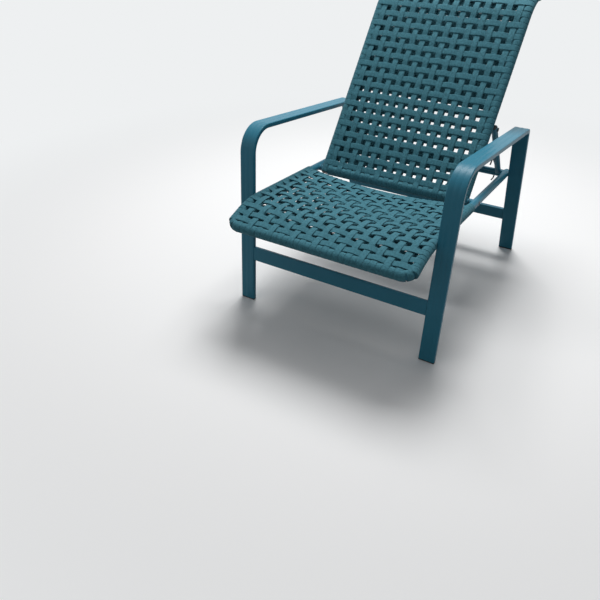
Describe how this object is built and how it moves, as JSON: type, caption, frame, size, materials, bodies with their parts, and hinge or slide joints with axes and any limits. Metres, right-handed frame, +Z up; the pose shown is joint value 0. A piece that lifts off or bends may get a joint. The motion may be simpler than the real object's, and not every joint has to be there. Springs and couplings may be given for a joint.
{
  "type": "reclining garden armchair",
  "caption": "Reclining armchair with bent flat-bar arms and legs, woven-strap seat and tall rolled-top back, and a bail that props the back.",
  "frame": {"origin": "centre of the bounding box, on the floor", "axes": "+X across the chair towards the right-hand arm as seen from the front, the chair's front faces -Y, +Z up"},
  "size_m": [0.702, 1.0272, 0.8992],
  "materials": {
    "frame_paint": "satin",
    "strap": "matte",
    "black_plastic": "matte",
    "coated_wire": "satin",
    "fastener_steel": "satin"
  },
  "bodies": {
    "frame": {"side_frame_left": "frame_paint", "side_frame_right": "frame_paint", "front_stretcher": "frame_paint", "rear_stretcher": "frame_paint", "front_glide_left": "black_plastic", "front_glide_right": "black_plastic", "rear_glide_left": "black_plastic", "rear_glide_right": "black_plastic", "seat_front_tube": "frame_paint", "seat_rail_left": "frame_paint", "seat_rail_right": "frame_paint", "seat_rear_tube": "frame_paint", "rear_cross_tube": "frame_paint", "rail_caps": "black_plastic", "seat_net_top": "strap", "seat_net_bottom": "strap", "seat_front_wrap": "strap", "seat_side_wrap_left": "strap", "seat_side_wrap_right": "strap", "seat_rear_wrap": "strap", "rail_boss_left": "frame_paint", "rail_boss_right": "frame_paint", "pivot_bolts": "fastener_steel", "pivot_nuts": "fastener_steel", "rack_left": "frame_paint", "rack_right": "frame_paint", "catch_left": "coated_wire", "catch_right": "coated_wire"},
    "back": {"back_tube_left": "frame_paint", "back_tube_right": "frame_paint", "back_bottom_tube": "frame_paint", "back_top_tube": "frame_paint", "back_caps": "black_plastic", "back_net_front": "strap", "back_net_rear": "strap", "back_side_wrap_left": "strap", "back_side_wrap_right": "strap", "back_bottom_wrap": "strap", "back_top_wrap": "strap", "back_boss_left": "frame_paint", "back_boss_right": "frame_paint", "pivot_washers": "black_plastic", "hinge_lug_left": "frame_paint", "hinge_lug_right": "frame_paint", "hinge_pins": "fastener_steel"},
    "bail": {"bail_strut_left": "frame_paint", "bail_strut_right": "frame_paint", "strut_plugs": "black_plastic", "bail_rod": "frame_paint"}
  },
  "joints": [
    {"name": "recline", "type": "hinge", "parent": "frame", "child": "back", "pos_m": [0, 0.01169, 0.34997], "axis": [1, 0, 0], "range_deg": [0, 22.2]},
    {"name": "bail_swing", "type": "hinge", "parent": "back", "child": "bail", "pos_m": [0, 0.18355, 0.53338], "axis": [1, 0, 0], "range_deg": [-47.5, 0]}
  ],
  "couplings": [
    {"joint": "bail_swing", "follows": "recline", "ratio": -2.12}
  ]
}
